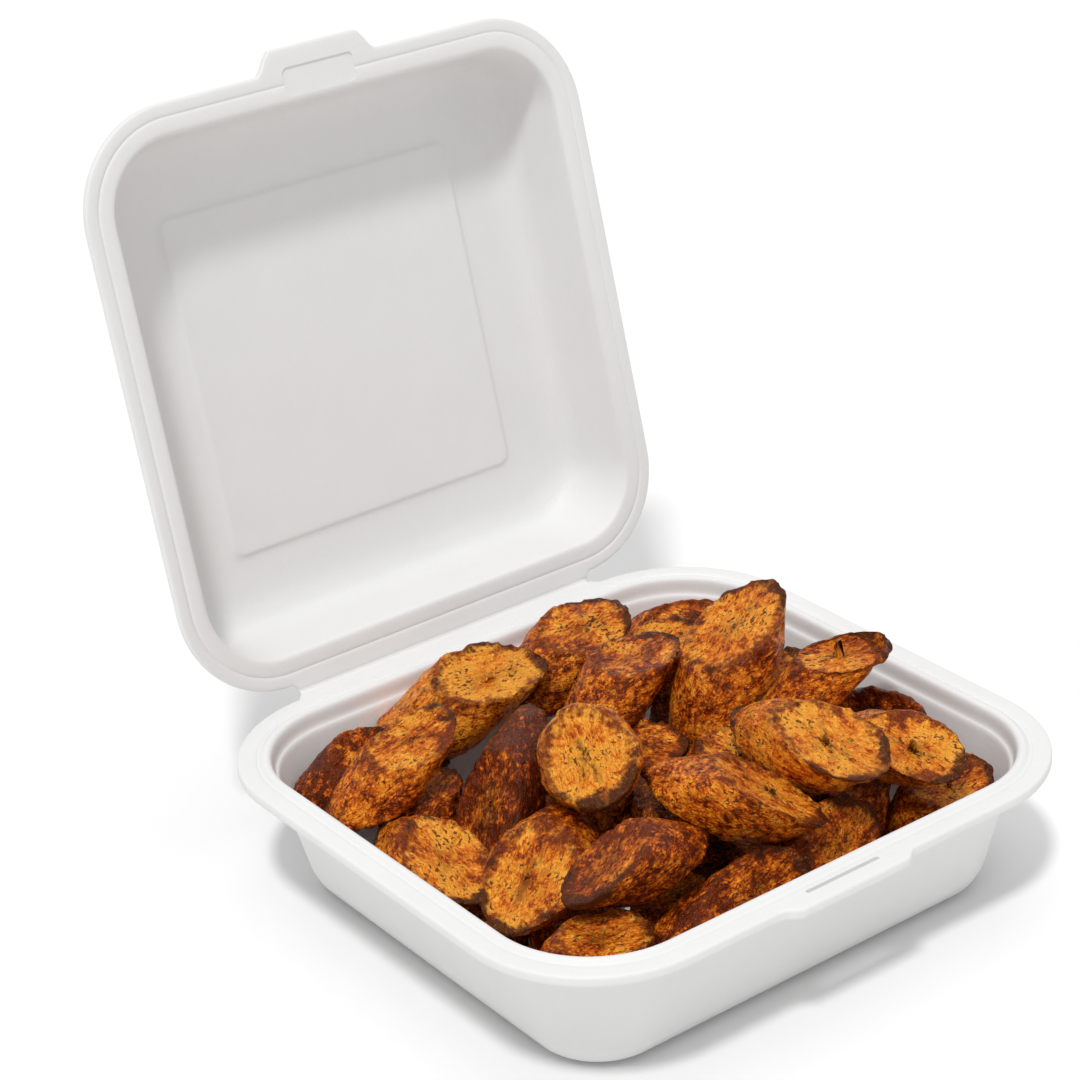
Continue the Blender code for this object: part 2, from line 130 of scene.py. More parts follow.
# ---- colours, as linear values
FLESH_STOPS = ((0.22, (0.070, 0.007, 0.0005)), (0.36, (0.260, 0.034, 0.001)), (0.48, (0.540, 0.096, 0.003)),
               (0.62, (0.840, 0.210, 0.009)), (0.84, (1.000, 0.420, 0.042)))
SKIN_STOPS = ((0.24, (0.060, 0.006, 0.0005)), (0.38, (0.230, 0.028, 0.001)), (0.51, (0.500, 0.084, 0.003)),
              (0.64, (0.780, 0.178, 0.007)), (0.86, (0.970, 0.350, 0.026)))
# the first colour below is the real browning, and also the colour of the painted shade laid into the creases
BROWNED_AND_CREASE_SHADE, SEED, BLOTCH = (0.130, 0.016, 0.0015), (0.060, 0.009, 0.002), (0.080, 0.010, 0.001)
SPECK, CHAR, CRUST = (0.020, 0.004, 0.001), (0.008, 0.003, 0.001), (0.075, 0.012, 0.002)
HEART = (0.80, 0.330, 0.012)
CONTRAST, FLESH_SHIFT, SKIN_SHIFT = 2.3, -0.89, -0.91  # how far the browning swings about its middle
ROUGH_BASE, SHEEN, SHEEN_TINT, COAT = 0.13, 0.30, (1.0, 0.50, 0.20), 0.12
BOX_SHADE = (0.82, 0.82, 0.815)
SUNS = ((-0.55, -0.45, 1.40, 1.45, 7.0), (0.20, 0.30, 1.50, 0.55, 50.0))  # towards it, strength, angle
SKY = 0.56
# how deeply browned single chunks are, by number: lighter cut faces and darker skin sides
TONES = {30: 0.45, 31: 0.20, 45: 0.22, 42: 0.25, 43: 0.35, 44: 0.38, 38: 0.32, 39: 0.55, 40: 0.75,
         41: 0.45, 22: 0.60, 19: 0.30, 18: 0.35, 17: 0.60, 26: 0.75, 27: 0.30, 25: 0.40, 14: 0.50}

# ------------------------------------------------------------------ helpers
def value_noise(points, size, seed):
    """Smooth noise from -1 to 1 at points, its lumps about size across (a number or three)."""
    q = points / np.asarray(size, dtype=float)
    cell = np.floor(q).astype(np.int64)
    f = q - cell
    f = f * f * f * (f * (f * 6 - 15) + 10)
    total = np.zeros(len(points))
    for corner in range(8):
        bits = np.array([(corner >> k) & 1 for k in range(3)])
        c = cell + bits
        n = (c[:, 0] * 374761393 + c[:, 1] * 668265263 + c[:, 2] * 915488749 + seed * 362437) & 0xFFFFFFFF
        n = ((n ^ (n >> 13)) * 1274126177) & 0xFFFFFFFF
        value = ((n ^ (n >> 16)) & 0xFFFFFF) / 0x7FFFFF - 1.0
        total += value * np.prod(np.where(bits, f, 1 - f), axis=1)
    return total


def smoothstep(low, high, x):
    t = np.clip((x - low) / (high - low), 0, 1)
    return t * t * (3 - 2 * t)


def new_mesh_object(name, points_mm, faces, material, place=None):
    """An object from points in millimetres, its normals turned outwards."""
    mesh = bpy.data.meshes.new(name)
    mesh.from_pydata((np.asarray(points_mm) * MM).tolist(), [], faces)
    shell = bmesh.new()
    shell.from_mesh(mesh)
    bmesh.ops.recalc_face_normals(shell, faces=shell.faces)
    shell.to_mesh(mesh)
    shell.free()
    mesh.shade_smooth()
    mesh.materials.append(material)
    if place is not None:
        mesh.transform(place)
    obj = bpy.data.objects.new(name, mesh)
    bpy.context.scene.collection.objects.link(obj)
    return obj


def ring_faces(levels, around, first=0):
    faces = []
    for level in range(levels - 1):
        for i in range(around):
            j = (i + 1) % around
            a, b = first + level * around, first + (level + 1) * around
            faces.append((a + i, a + j, b + j, b + i))
    return faces


# ------------------------------------------------------------------ node materials
class Graph:
    """Small helper to write a material's nodes."""

    def __init__(self, name):
        self.material = bpy.data.materials.new(name)
        self.material.use_nodes = True
        self.tree = self.material.node_tree
        self.shader = self.tree.nodes["Principled BSDF"]

    def add(self, kind, values=None, **settings):
        node = self.tree.nodes.new(kind)
        for key, value in settings.items():
            setattr(node, key, value)
        for key, value in (values or {}).items():
            self.put(node.inputs[key], value)
        return node

    def put(self, socket, value):
        if isinstance(value, bpy.types.NodeSocket):
            self.tree.links.new(value, socket)
        else:
            socket.default_value = value

    def math(self, operation, a, b=0.0, c=0.0, clamp=False):
        node = self.add("ShaderNodeMath", {0: a, 1: b, 2: c}, operation=operation, use_clamp=clamp)
        return node.outputs[0]

    def attribute(self, name, output="Fac"):
        return self.add("ShaderNodeAttribute", attribute_name=name).outputs[output]

    def noise(self, vector, scale, detail=3.0, roughness=0.55, distortion=0.0):
        return self.add("ShaderNodeTexNoise", {"Vector": vector, "Scale": scale, "Detail": detail,
                        "Roughness": roughness, "Distortion": distortion}).outputs["Fac"]

    def stretch(self, vector, scale):
        return self.add("ShaderNodeVectorMath", {0: vector, 1: scale}, operation="MULTIPLY").outputs[0]

    def ramp(self, factor, stops):
        node = self.add("ShaderNodeValToRGB", {"Fac": factor})
        elements = node.color_ramp.elements
        while len(elements) < len(stops):
            elements.new(0.5)
        for element, (position, colour) in zip(elements, stops):
            element.position = position
            element.color = (*colour, 1.0)
        return node.outputs["Color"]

    def step(self, value, low, high):
        node = self.add("ShaderNodeMapRange", {"Value": value, "From Min": low, "From Max": high},
                        interpolation_type="SMOOTHSTEP")
        return node.outputs["Result"]

    def mix(self, factor, a, b):
        node = self.add("ShaderNodeMix", data_type="RGBA")
        self.put(node.inputs["Factor"], factor)
        for socket, value in ((node.inputs[6], a), (node.inputs[7], b)):
            self.put(socket, (*value, 1.0) if isinstance(value, tuple) else value)
        return node.outputs[2]


def plantain_material():
    """Fried plantain: wrinkled amber flesh, browned rims and sides, char, seeds, specks, oil, and painted shade in the
    creases.
    """
    g = Graph("fried_plantain")
    grain, polar = g.attribute("grain", "Vector"), g.attribute("polar", "Vector")
    face, rim = g.attribute("face"), g.attribute("rimdist")
    seed, tone, tips = g.attribute("seed"), g.attribute("tone"), g.attribute("tips")
    side = g.math("SUBTRACT", 1.0, face)
    big = g.noise(grain, 0.10, 2.0, 0.6)
    mid = g.noise(grain, 0.42, 3.0, 0.62)
    fine = g.noise(grain, 2.1, 1.0, 0.6)
    fibre = g.noise(g.stretch(grain, (0.16, 0.95, 0.70)), 1.0, 3.0, 0.66, 0.5)
    rays = g.noise(polar, 0.80, 2.0, 0.62, 0.5)
    streak = g.noise(g.stretch(grain, (0.10, 0.55, 0.55)), 1.0, 3.0, 0.7, 0.6)
    # wrinkles: thin creases where a noise crosses its middle
    warp = g.noise(g.stretch(grain, (0.50, 0.95, 0.95)), 1.0, 2.0, 0.6, 0.4)
    crease = g.math("MULTIPLY", g.math("ABSOLUTE", g.math("SUBTRACT", warp, 0.5)), 7.0, clamp=True)
    radial = g.math("MULTIPLY", g.math("ABSOLUTE", g.math("SUBTRACT", rays, 0.5)), 6.5, clamp=True)

    # cut face: browned amber with fibres along the chunk and rays from its heart
    level = g.math("MULTIPLY_ADD", fibre, 0.34, g.math("MULTIPLY", big, 0.52))
    level = g.math("MULTIPLY_ADD", rays, 0.26, level)
    level = g.math("MULTIPLY_ADD", mid, 0.40, level)
    level = g.math("MULTIPLY_ADD", crease, 0.10, level)
    level = g.math("SUBTRACT", level, g.math("MULTIPLY_ADD", tone, 0.42, -0.01))
    flesh = g.ramp(g.math("MULTIPLY_ADD", level, CONTRAST, FLESH_SHIFT), FLESH_STOPS)
    # the sides: the same flesh, redder and more browned, with streaks
    level = g.math("MULTIPLY_ADD", streak, 0.62, g.math("MULTIPLY", mid, 0.46))
    level = g.math("MULTIPLY_ADD", big, 0.36, level)
    level = g.math("MULTIPLY_ADD", crease, 0.10, level)
    level = g.math("SUBTRACT", level, g.math("MULTIPLY_ADD", tone, 0.38, -0.02))
    skin = g.ramp(g.math("MULTIPLY_ADD", level, CONTRAST, SKIN_SHIFT), SKIN_STOPS)
    colour = g.mix(face, skin, flesh)
    # a yellower heart
    heart = g.math("MULTIPLY", g.step(rim, 4.0, 11.0), g.step(mid, 0.42, 0.64))
    colour = g.mix(g.math("MULTIPLY", heart, 0.38), colour, HEART)
    # browning that spreads in from the rim, and down the side
    wander = g.math("MULTIPLY_ADD", mid, 11.0, g.math("MULTIPLY_ADD", big, 12.0, -11.5))
    inward = g.math("ADD", rim, wander)
    browned = g.math("MULTIPLY", g.step(inward, 3.4, -0.6), face)
    downward = g.math("MULTIPLY", g.step(g.math("SUBTRACT", wander, rim), 3.2, -2.0), side)
    browned = g.math("ADD", g.math("MULTIPLY", browned, 0.86), g.math("MULTIPLY", downward, 0.72))
    colour = g.mix(browned, colour, BROWNED_AND_CREASE_SHADE)
    # seed seams
    seam = g.math("MULTIPLY", seed, g.step(mid, 0.40, 0.60))
    colour = g.mix(g.math("MULTIPLY", seam, 0.72, clamp=True), colour, SEED)
    # blotches on the sides
    blotch = g.math("MULTIPLY", g.step(g.noise(grain, 0.24, 3.0, 0.65), 0.52, 0.66), side)
    colour = g.mix(g.math("MULTIPLY", blotch, 0.55), colour, BLOTCH)
    # short dark dashes, in clusters
    dash = g.noise(g.stretch(grain, (0.60, 1.05, 0.95)), 1.0, 1.5, 0.5, 0.8)
    lift = g.math("MULTIPLY_ADD", seed, 0.06, g.math("MULTIPLY", g.math("SUBTRACT", big, 0.5), 0.42))
    specks = g.step(g.math("ADD", dash, lift), 0.64, 0.68)
    colour = g.mix(g.math("MULTIPLY", specks, 0.88), colour, SPECK)
    # charred rim, in stretches, and tips
    ragged = g.math("MULTIPLY_ADD", g.noise(grain, 0.55, 3.0, 0.72), 8.0, -4.0)
    patch = g.math("MULTIPLY_ADD", g.noise(grain, 0.14, 1.0, 0.55), 16.0, -8.6)
    patch = g.math("MULTIPLY_ADD", tips, 7.0, g.math("SUBTRACT", patch, 4.2))
    edge = g.math("SUBTRACT", g.math("ADD", g.math("ABSOLUTE", g.math("ADD", rim, 0.3)), ragged), patch)
    char = g.step(edge, 2.2, -0.4)
    burnt = g.step(g.math("ADD", tips, g.math("MULTIPLY", g.math("SUBTRACT", mid, 0.5), 0.8)), 0.78, 1.02)
    char = g.math("MAXIMUM", g.math("MULTIPLY", char, 0.92), g.math("MULTIPLY", burnt, 0.90))
    crust = g.mix(g.step(fine, 0.42, 0.64), CHAR, CRUST)
    colour = g.mix(char, colour, crust)
    # painted shade: the creases, and the rays on the cut faces, darkened with the browning colour where shade falls
    shade = g.math("MULTIPLY", g.math("SUBTRACT", 1.0, g.math("MINIMUM", crease, g.math("ADD", radial, side))), 0.26)
    colour = g.mix(shade, colour, BROWNED_AND_CREASE_SHADE)
    g.put(g.shader.inputs["Base Color"], colour)

    rough = g.math("MULTIPLY_ADD", mid, 0.30, ROUGH_BASE)
    rough = g.math("MULTIPLY_ADD", char, 0.08, rough)
    g.put(g.shader.inputs["Roughness"], rough)
    g.shader.inputs["Specular IOR Level"].default_value = SHEEN
    g.shader.inputs["Specular Tint"].default_value = (*SHEEN_TINT, 1.0)
    g.shader.inputs["Coat Weight"].default_value = COAT
    g.shader.inputs["Coat Roughness"].default_value = 0.12
    relief = g.math("MULTIPLY_ADD", fibre, 0.70, g.math("MULTIPLY", fine, 0.45))
    relief = g.math("MULTIPLY_ADD", crease, 0.75, relief)
    relief = g.math("MULTIPLY_ADD", g.noise(grain, 0.95, 2.0, 0.65), 1.1, relief)
    bump = g.add("ShaderNodeBump", {"Height": relief, "Strength": 1.0, "Distance": 0.00024})
    g.put(g.shader.inputs["Normal"], bump.outputs[0])
    g.put(g.shader.inputs["Coat Normal"], bump.outputs[0])
    return g.material


def fibre_white(name, grain_depth, shade):
    """White moulded fibre: a faint mottle, a very fine pebbled surface and a soft sheen."""
    g = Graph(name)
    place = g.add("ShaderNodeTexCoord").outputs["Object"]
    cloud = g.noise(place, 55.0, 3.0, 0.5)
    pebble = g.noise(place, 900.0, 2.0, 0.5)
    cells = g.add("ShaderNodeTexVoronoi", {"Vector": place, "Scale": 1150.0}, feature="SMOOTH_F1").outputs["Distance"]
    level = g.math("MULTIPLY_ADD", cloud, 0.6, g.math("MULTIPLY", pebble, 0.4))
    colour = g.ramp(level, ((0.25, tuple(c * 0.965 for c in shade)), (0.70, shade)))
    g.put(g.shader.inputs["Base Color"], colour)
    g.put(g.shader.inputs["Roughness"], g.math("MULTIPLY_ADD", pebble, 0.16, 0.46))
    g.shader.inputs["Specular IOR Level"].default_value = 0.42
    height = g.math("MULTIPLY_ADD", cells, 0.8, g.math("MULTIPLY", pebble, 0.7))
    bump = g.add("ShaderNodeBump", {"Height": height, "Strength": 0.45, "Distance": grain_depth})
    g.put(g.shader.inputs["Normal"], bump.outputs[0])
    return g.material


# ------------------------------------------------------------------ the box
def rounded(section, radius):
    """A section's corners replaced by short curves; its flags become shares."""
    rows = [(a, b, float(flag)) for a, b, flag in section]
    out = [rows[0]]
    for before, here, after in zip(rows, rows[1:], rows[2:]):
        b, h, a = (np.array(row) for row in (before, here, after))
        back, ahead = np.hypot(*(b - h)[:2]), np.hypot(*(a - h)[:2])
        start = h + (b - h) * min(radius, 0.42 * back) / back
        end = h + (a - h) * min(radius, 0.42 * ahead) / ahead
        for t in (0.0, 0.33, 0.67, 1.0):
            out.append(tuple((1 - t) ** 2 * start + 2 * t * (1 - t) * h + t * t * end))
    out.append(rows[-1])
    return out


def outline(half_x, half_y, radius):
    """A rounded rectangle, anticlockwise from the front left, and which side each point is on."""
    sx, sy = half_x - radius, half_y - radius
    across = np.linspace(-1, 1, FRONT_STATIONS + 2)[1:-1] * sx
    along = np.linspace(-1, 1, SIDE_STATIONS + 2)[1:-1] * sy
    points, sides = [], []

    def corner(cx, cy, start):
        for step in range(ARC_STEPS + 1):
            angle = radians(start + 90 * step / ARC_STEPS)
            points.append((cx + radius * cos(angle), cy + radius * sin(angle)))
            sides.append(0)

    for x in across:
        points.append((x, -half_y)), sides.append(1)
    corner(sx, -sy, -90)
    for y in along:
        points.append((half_x, y)), sides.append(0)
    corner(sx, sy, 0)
    for x in across[::-1]:
        points.append((x, half_y)), sides.append(2)
    corner(-sx, sy, 90)
    for y in along[::-1]:
        points.append((-half_x, y)), sides.append(0)
    corner(-sx, -sy, 180)
    return np.array(points), np.array(sides)


def swell(x, centre, outer, inner, reach):
    """How far an edge stands out at x, with soft shoulders."""
    return reach * smoothstep(outer, inner, np.abs(x - centre))


def shell(width, length, corner, section, front, back):
    """Points and faces of a moulded shell. front and back are (centre, outer, inner, reach)."""
    rings = []
    for inset, height, share in section:
        flat, sides = outline(width / 2 - inset, length / 2 - inset, max(corner - inset, 4.0))
        flat[:, 1] -= np.where(sides == 1, swell(flat[:, 0], *front) * share, 0)
        flat[:, 1] += np.where(sides == 2, swell(flat[:, 0], *back) * share, 0)
        rings.append(np.column_stack([flat, np.full(len(flat), height)]))
    around = len(rings[0])
    faces = ring_faces(len(rings), around)
    last = (len(rings) - 1) * around
    faces.append(tuple(range(around))[::-1])
    faces.append(tuple(last + i for i in range(around)))
    return rings, faces


def rounded_cutter(name, centre, size, height, place, material):
    """A prism with round ends, to cut a slot or pocket with."""
    radius = size[1] / 2 if size[1] < 3 else 2.0
    flat = []
    for cx, cy, start in ((1, -1, -90), (1, 1, 0), (-1, 1, 90), (-1, -1, 180)):
        for step in range(7):
            angle = radians(start + 15 * step)
            flat.append((centre[0] + cx * (size[0] / 2 - radius) + radius * cos(angle),
                         centre[1] + cy * (size[1] / 2 - radius) + radius * sin(angle)))
    count = len(flat)
    points = [(x, y, centre[2] + s * height / 2) for s in (-1, 1) for x, y in flat]
    faces = ring_faces(2, count) + [tuple(range(count))[::-1], tuple(range(count, 2 * count))]
    return new_mesh_object(name, points, faces, material, place)


def cut(obj, cutter):
    modifier = obj.modifiers.new("cut", "BOOLEAN")
    modifier.operation, modifier.solver, modifier.object = "DIFFERENCE", "EXACT", cutter
    graph = bpy.context.evaluated_depsgraph_get()
    mesh = bpy.data.meshes.new_from_object(obj.evaluated_get(graph))
    obj.modifiers.clear()
    obj.data = mesh
    bpy.data.objects.remove(cutter, do_unlink=True)
    mesh.set_sharp_from_angle(angle=radians(38))


def build_tray(material):
    top = TRAY_HEIGHT
    section = rounded((
        (31.0, SKIN, 0), (29.0, SKIN, 0), (23.6, 2.8, 0), (20.8, 7.0, 0),
        (12.4, top - 5.2, 0), (11.2, top - 4.4, 0), (10.5, top - 0.7, 0),
        (9.7, top + 0.4, 0), (8.2, top + 0.7, 0), (6.8, top - 0.3, 0),
        (6.1, top - 0.6, 0), (5.6, top, 0), (0.6, top, 1), (0.0, top - 0.6, 1),
        (0.0, top - LIP, 1), (1.1, top - LIP, 1), (1.1, top - SKIN - 0.4, 1),
        (9.2, top - SKIN - 0.6, 0), (9.9, top - 5.2, 0), (11.1, top - 6.0, 0),
        (19.4, 6.6, 0), (22.0, 2.0, 0), (27.0, 0.0, 0), (29.0, 0.0, 0)), 1.6)
    rings, faces = shell(TRAY_WIDTH, TRAY_LENGTH, TRAY_CORNER, section,
                         (LATCH_X, LATCH_HALF, LATCH_HALF - LATCH_RUN, LATCH_REACH),
                         (0.0, HINGE_HALF + 1.5, HINGE_HALF, HINGE_REACH))
    tray = new_mesh_object("box_tray", np.concatenate(rings), faces, material)
    cut(tray, rounded_cutter("slot", (LATCH_X, -TRAY_LENGTH / 2 + 2.9, top), SLOT_SIZE, 6.0, None, material))
    return tray


def lid_pose(open_degrees):
    lean = Matrix.Rotation(radians(180.0 - open_degrees), 4, "X")
    return Matrix.Translation((0.0, AXIS_Y * MM, AXIS_Z * MM)) @ lean


def build_lid(material):
    base, deep = LID_LIFT, LID_DEPTH
    section = rounded((
        (40.0, deep - SKIN - 1.1, 0), (38.0, deep - SKIN - 1.1, 0), (36.6, deep - SKIN, 0),
        (22.0, deep - SKIN - 0.2, 0), (15.6, deep - 3.4, 0), (13.0, deep - 8.5, 0), (10.2, base + 1.3, 0),
        (9.2, base, 0), (4.9, base, 0), (4.3, base + 0.5, 0), (3.7, base, 0),
        (0.6, base, 1), (0.0, base + 0.6, 1), (0.0, base + 2.4, 1), (1.1, base + 2.4, 1),
        (1.1, base + SKIN, 1), (8.8, base + SKIN, 0), (11.8, deep - 7.8, 0), (14.6, deep - 2.4, 0),
        (21.6, deep, 0), (35.4, deep, 0), (36.8, deep - 1.0, 0), (39.0, deep - 1.0, 0)), 2.6)
    rings, faces = shell(LID_WIDTH, LID_LENGTH, LID_CORNER, section,
                         (0.0, HINGE_HALF + 1.2, HINGE_HALF, LID_BACK - CREASE_GAP),
                         (LATCH_X, TAB_HALF, TAB_TIP_HALF, TAB_REACH))
    middle = LID_BACK + LID_LENGTH / 2
    points = np.concatenate(rings) * (1, 1, -1) + (0, middle, 0)
    place = lid_pose(LID_OPEN)
    lid = new_mesh_object("box_lid", points, faces, material, place)
    centre = (LATCH_X, LID_BACK + LID_LENGTH - 3.6, -LID_LIFT)
    cut(lid, rounded_cutter("pocket", centre, POCKET_SIZE, 2 * POCKET_DEPTH, place, material))
    return lid


def build_web(material):
    """The creased web that joins the two flanges, bent round the hinge's axis."""
    lean = radians(180.0 - LID_OPEN)
    along = np.array([-2.6, -1.9, -1.2, -0.7, -0.3, 0.0, 0.3, 0.7, 1.2, 1.8, 2.3])
    half = 0.46
    middle = -LID_LIFT - SKIN / 2
    upper, lower = [], []
    for s in along:
        share = smoothstep(-0.9, 0.9, s)
        angle = lean * share
        radial = s
        for side, out in ((1, upper), (-1, lower)):
            depth = middle + side * half * (1.0 - 0.25 * (abs(abs(s) - 0.9) < 0.35))
            y, z = radial * cos(angle) - depth * sin(angle), radial * sin(angle) + depth * cos(angle)
            out.append((AXIS_Y + y, AXIS_Z + z))
    ring = upper + lower[::-1]
    stations = np.linspace(-HINGE_HALF + 0.2, HINGE_HALF - 0.2, 80)
    points = [(x, y, z) for x in stations for y, z in ring]
    faces = ring_faces(len(stations), len(ring))
    last = (len(stations) - 1) * len(ring)
    faces += [tuple(range(len(ring)))[::-1], tuple(last + i for i in range(len(ring)))]
    web = new_mesh_object("hinge_web", points, faces, material)
    start = (0.0, (AXIS_Y - 0.8) * MM, (AXIS_Z - 0.5) * MM)
    end = (0.0, (AXIS_Y + 0.8 * cos(lean)) * MM, (AXIS_Z + 0.8 * sin(lean)) * MM)
    return web, start, end


# ------------------------------------------------------------------ the plantain
def fried_row(row):
    """A slice's row with the sizes it has once fried."""
    length, width, thick, bias = row[6:10]
    slide = max(-MOST_SLANT * length, min(MOST_SLANT * length, bias * SLANT))
    return (*row[:6], length + STRETCH * (abs(slide) - abs(bias)), width, thick * FLATNESS, slide)


def tilt(row):
    heading, pitch, roll = (radians(angle) for angle in row[3:6])
    return np.array(Matrix.Rotation(heading, 3, "Z") @ Matrix.Rotation(-pitch, 3, "Y")
                    @ Matrix.Rotation(roll, 3, "X"))


def oval(row, index, angles, scale):
    length, width, thick, bias = row[6:10]
    taper, bend = 0.10 * sin(2.4 * index), 1.5 * sin(1.7 * index + 1.0)
    span = (length - abs(bias)) / length
    u, v = np.cos(angles), np.sin(angles)
    x = scale * length * span / 2 * u
    y = scale * width / 2 * v * (1 - taper * u) * (1 - 0.12 * u * u) + bend * (1 - u * u)
    return x, y


def cad_cloud(row, index, detailed, sunken):
    """The CAD chunk's points about its own middle, only to find where its middle lies."""
    length, width, thick, bias = row[6:10]
    around = 12 if detailed else 10
    wedge = 0.16 * sin(3.1 * index + 0.5)
    sink = thick * FACE_SINK * (3.0 if sunken else 1.0)
    levels = [(thick / 2, 0.86), (thick * 0.41, 0.965), (thick * 0.03, 1.0),
              (-thick * 0.41, 0.965), (-thick / 2, 0.86)]
    angles = 2 * pi * np.arange(around) / around
    points = []
    for height, scale in levels:
        x, y = oval(row, index, angles, scale)
        points.append(np.column_stack([x + bias * height / thick, y, height * (1 + wedge * 2 * x / length)]))
    return np.concatenate(points)


def chunk(row, index, fine, sunken, material, node):
    """One chunk in fine detail, with the attributes that its material reads."""
    length, width, thick, bias = row[6:10]
    wedge = 0.16 * sin(3.1 * index + 0.5)
    around = 150 if fine else 56
    on_face, on_side, under = (24, 17, 12) if fine else (8, 8, 6)
    sink = thick * FACE_SINK * (3.0 if sunken else 1.0)
    dip = sink * (1.10 if sunken else 0.45 + 0.40 * sin(1.9 * index))
    rows = []  # scale of the outline, height, distance from the rim (+ on a face, - on the side)
    for t in np.linspace(0.05, 1.0, on_face):
        s = 0.86 * (1 - (1 - t) ** 1.25)
        rows.append((s, thick / 2 - dip * (1 - (s / 0.86) ** 2.6), (0.86 - s) * width / 2))
    for t in np.linspace(0, 1, on_side + 2)[1:-1]:
        c, q = cos(pi * t), sin(pi * t)
        h = thick / 2 * np.sign(c) * abs(c) ** 0.8
        rows.append((0.86 + 0.14 * q ** 0.7, h, -(thick / 2 - abs(h)) - 0.3))
    for t in np.linspace(1.0, 0.05, under):
        s = 0.86 * t
        rows.append((s, -thick / 2 + dip * (1 - (s / 0.86) ** 2.6), (0.86 - s) * width / 2))
    angles = 2 * pi * np.arange(around) / around
    offset = np.array([31.7, 17.3, 47.1]) * (index + 1)
    # the outline wanders a little, so that no two chunks are alike
    ring = np.column_stack([np.cos(angles), np.sin(angles), np.zeros(around)]) * 10 + offset
    wander = 1 + 0.030 * value_noise(ring, 5.0, 3) + 0.012 * value_noise(ring, 1.6, 4)
    points, rim, scale_of = [], [], []
    for s, h, r in rows:
        x, y = oval(row, index, angles, s)
        x, y = x * wander, y * wander
        points.append(np.column_stack([x + bias * h / thick, y, h * (1 + wedge * 2 * x / length)]))
        rim.append(np.full(around, r))
        scale_of.append(np.full(around, s))
    levels = len(rows)
    rim, scale_of = np.concatenate(rim), np.concatenate(scale_of)
    top_hub = np.mean(points[0], axis=0)
    low_hub = np.mean(points[-1], axis=0)
    points = np.concatenate(points + [[top_hub], [low_hub]])
    rim = np.concatenate([rim, [0.86 * width / 2] * 2])
    scale_of = np.concatenate([scale_of, [0, 0]])
    count = levels * around
    faces = ring_faces(levels, around)
    faces += [((i + 1) % around, i, count) for i in range(around)]
    faces += [(count - around + i, count - around + (i + 1) % around, count + 1) for i in range(around)]

    # masks
    span = (length - abs(bias)) / 2
    upper = points[:, 2] > 0
    slide = np.where(upper, bias / 2, -bias / 2)
    px, py = (points[:, 0] - slide) / span, points[:, 1] / (width / 2)
    face = smoothstep(-0.5, 0.7, rim)
    radius = np.hypot(px, py)
    turn = np.arctan2(py * 1.15, px)
    star = np.zeros(len(points))
    for ray, strength in ((0.10, 1.0), (2.35, 0.75), (3.25, 1.0), (-0.85, 0.55), (1.30, 0.45), (-1.9, 0.5)):
        away = np.abs((turn - ray - 0.25 * sin(index * 1.3) + pi) % (2 * pi) - pi)
        star = np.maximum(star, strength * np.exp(-(away * (0.25 + radius) / 0.16) ** 2))
    seam = np.exp(-(py / 0.11) ** 2)
    lean_to_seam = 0.5 + 0.5 * sin(index * 2.1)
    seed = np.maximum(star * (1 - 0.6 * lean_to_seam), seam * lean_to_seam)
    seed = (seed * smoothstep(0.66, 0.30, radius) * 0.95 + np.exp(-(radius / 0.13) ** 2) * 0.6) * face
    if sunken:
        seed = np.maximum(seed, smoothstep(0.62, 0.30, radius) * face)
    tips = np.abs(points[:, 0]) / (length / 2)
    polar = np.column_stack([np.cos(turn) * 9, np.sin(turn) * 9, radius * 4]) + offset

    # relief along the normals
    mesh = bpy.data.meshes.new("scratch")
    mesh.from_pydata(points.tolist(), [], faces)
    normal = np.zeros(len(points) * 3)
    mesh.vertex_normals.foreach_get("vector", normal)
    normal = normal.reshape(-1, 3)
    bpy.data.meshes.remove(mesh)
    if (normal * points).sum() < 0:
        normal = -normal
    p = points + offset
    band = np.exp(-(rim / 1.5) ** 2)
    relief = 0.62 * value_noise(p, 9.0, 11) + 0.34 * value_noise(p, 4.2, 12) + 0.16 * value_noise(p, 2.1, 13)
    relief -= 0.42 * (0.5 - np.abs(value_noise(p, (5.5, 2.6, 2.6), 20))) * (1 - band)
    relief += 0.26 * (np.abs(value_noise(polar, 2.4, 21)) - 0.4) * face * smoothstep(0.1, 0.4, radius)
    relief += band * (0.15 + 0.50 * value_noise(p, 2.6, 14) + 0.42 * value_noise(p, 1.3, 15))
    relief += face * (0.13 * value_noise(p, (9.0, 1.3, 3.0), 16) - 0.55 * seed * (0.6 + 0.4 * value_noise(p, 2.2, 17)))
    side = 1 - face
    relief += side * (0.16 * value_noise(p, (11.0, 2.0, 2.0), 18) - 0.45 * smoothstep(0.35, 0.8, value_noise(p, 3.2, 19)))
    relief -= 0.10 + LID_ROOM.get(index + 1, 0.0)
    points = points + normal * relief[:, None]

    # where it lies: the CAD node's box less the turned cloud's box
    turned = cad_cloud(row, index, index >= len(FLOOR_LAYER), sunken) @ tilt(row).T
    low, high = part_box(node)
    centre = (np.array(low) + np.array(high)) / 2 / MM - (turned.min(axis=0) + turned.max(axis=0)) / 2
    place = Matrix.Translation([float(c) * MM for c in centre]) @ Matrix(tilt(row).tolist()).to_4x4()
    obj = new_mesh_object(node.replace("plantain", "plantain_chunk"), points, faces, material, place)
    data = obj.data
    for name, values in (("grain", p), ("polar", polar)):
        data.attributes.new(name, "FLOAT_VECTOR", "POINT").data.foreach_set("vector", values.astype(np.float32).ravel())
    browned = TONES.get(index + 1, 0.5 + 0.14 * sin(index * 5.3))
    for name, values in (("face", face), ("rimdist", rim), ("seed", np.clip(seed, 0, 1)), ("tips", tips),
                         ("tone", np.full(len(points), browned))):
        data.attributes.new(name, "FLOAT", "POINT").data.foreach_set("value", values.astype(np.float32))
    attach(obj, "box")
    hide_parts(node)
    return obj


